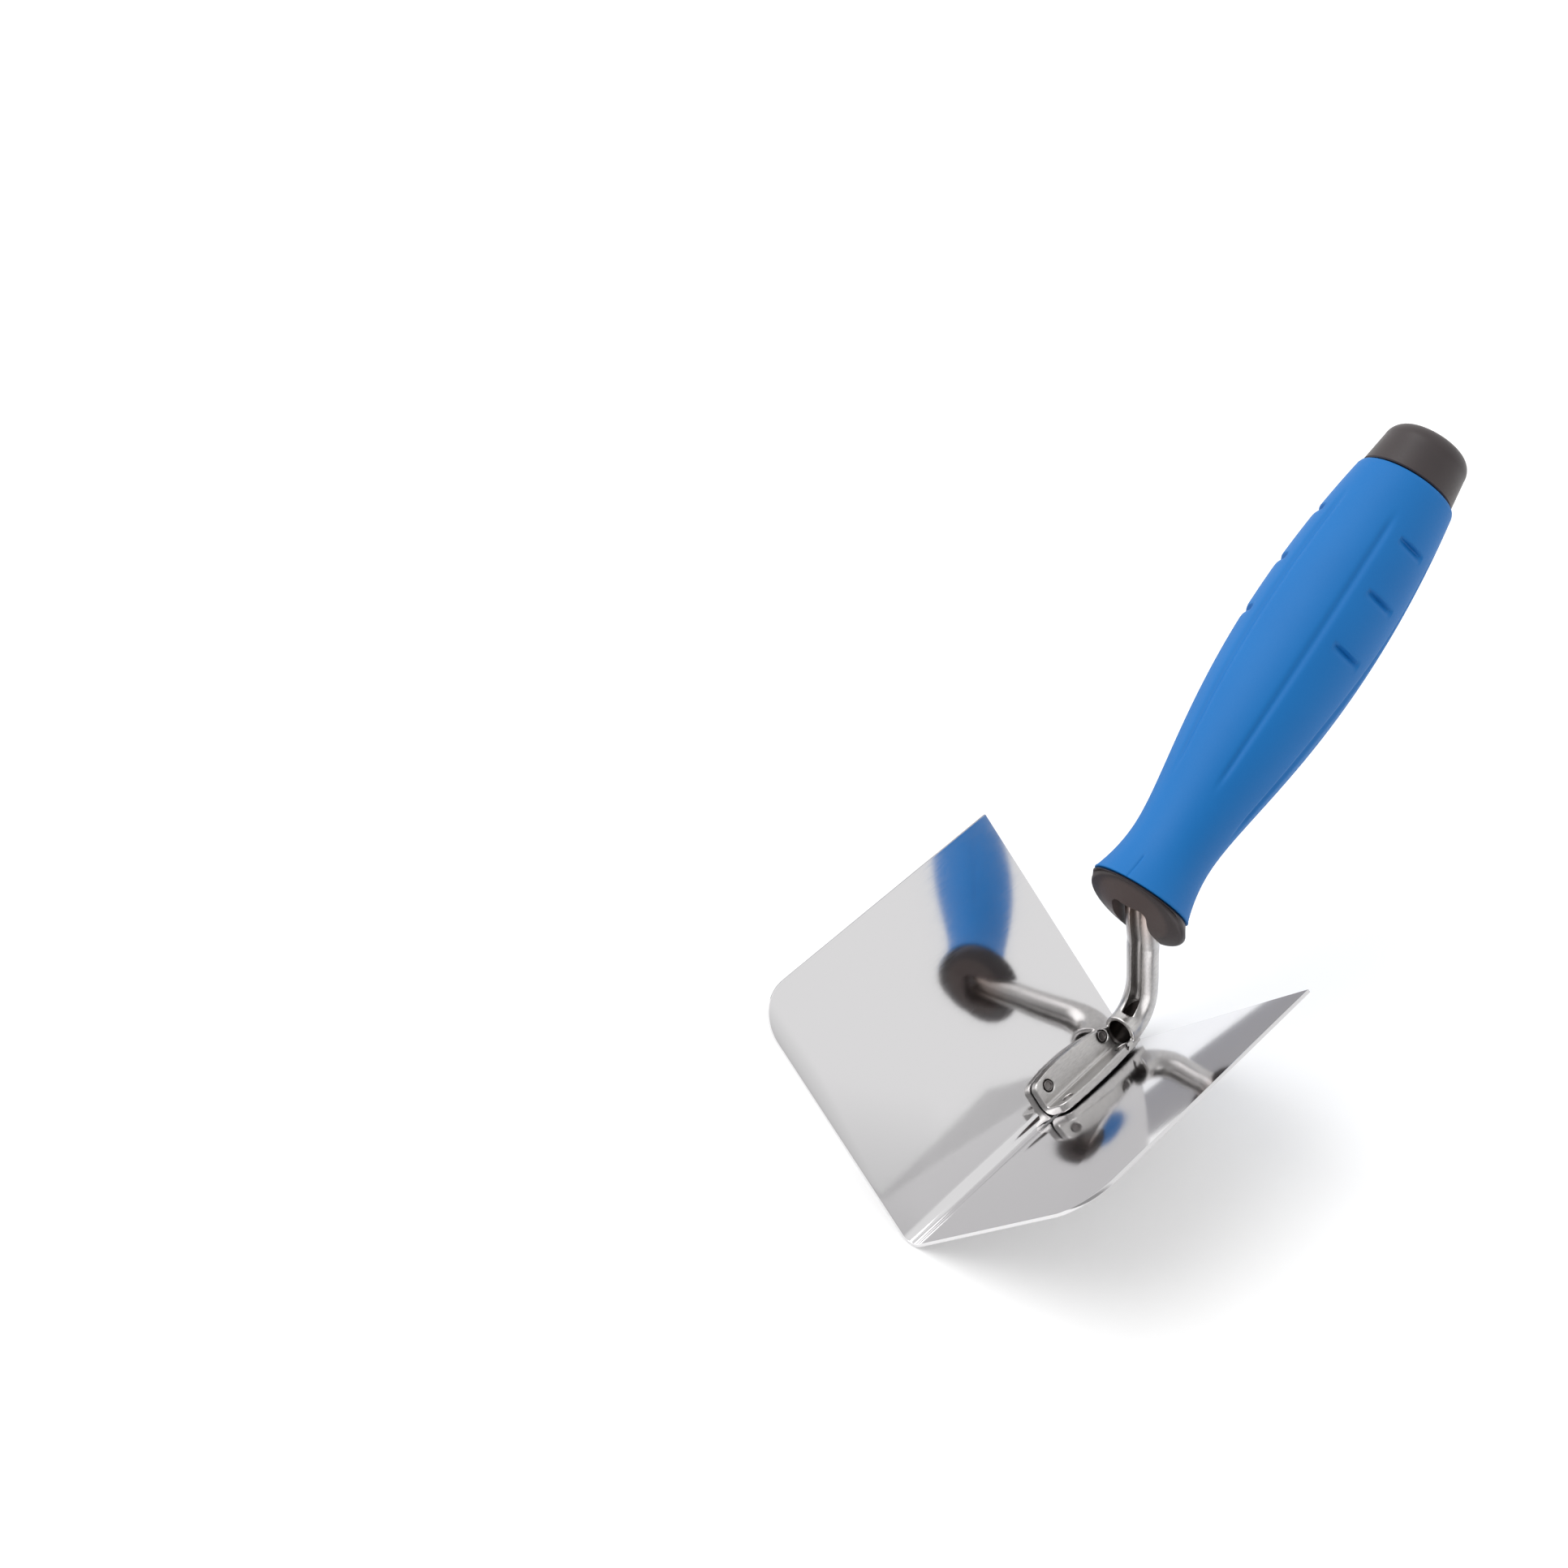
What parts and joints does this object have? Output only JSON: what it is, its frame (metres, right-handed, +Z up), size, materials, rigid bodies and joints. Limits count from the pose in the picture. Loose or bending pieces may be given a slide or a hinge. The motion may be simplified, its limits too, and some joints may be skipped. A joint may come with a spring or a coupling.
{
  "type": "inside corner trowel",
  "caption": "Inside corner trowel: a folded stainless V blade on a spot-welded steel tang with a soft-grip handle.",
  "frame": {"origin": "under the middle of the tool's bounding box, on the plane that the fold of the blade rests on", "axes": "+X across the blade, +Y along the fold from the blade's front edge towards the handle, +Z up with the V opening upwards"},
  "size_m": [0.089, 0.1894, 0.1176],
  "materials": {
    "blade_stainless": "polished stainless sheet, fine brushing",
    "tang_steel": "pressed and tumbled steel",
    "weld_steel": "spot weld, electrode marked",
    "hard_plastic": "moulded, satin",
    "soft_grip": "moulded soft rubber, matte"
  },
  "bodies": {
    "root": {"blade": "blade_stainless", "tang": "tang_steel", "weld_left_front": "weld_steel", "weld_left_rear": "weld_steel", "weld_right_front": "weld_steel", "weld_right_rear": "weld_steel", "handle_core": "hard_plastic", "grip_sleeve": "soft_grip", "butt_cap": "hard_plastic"}
  },
  "joints": []
}
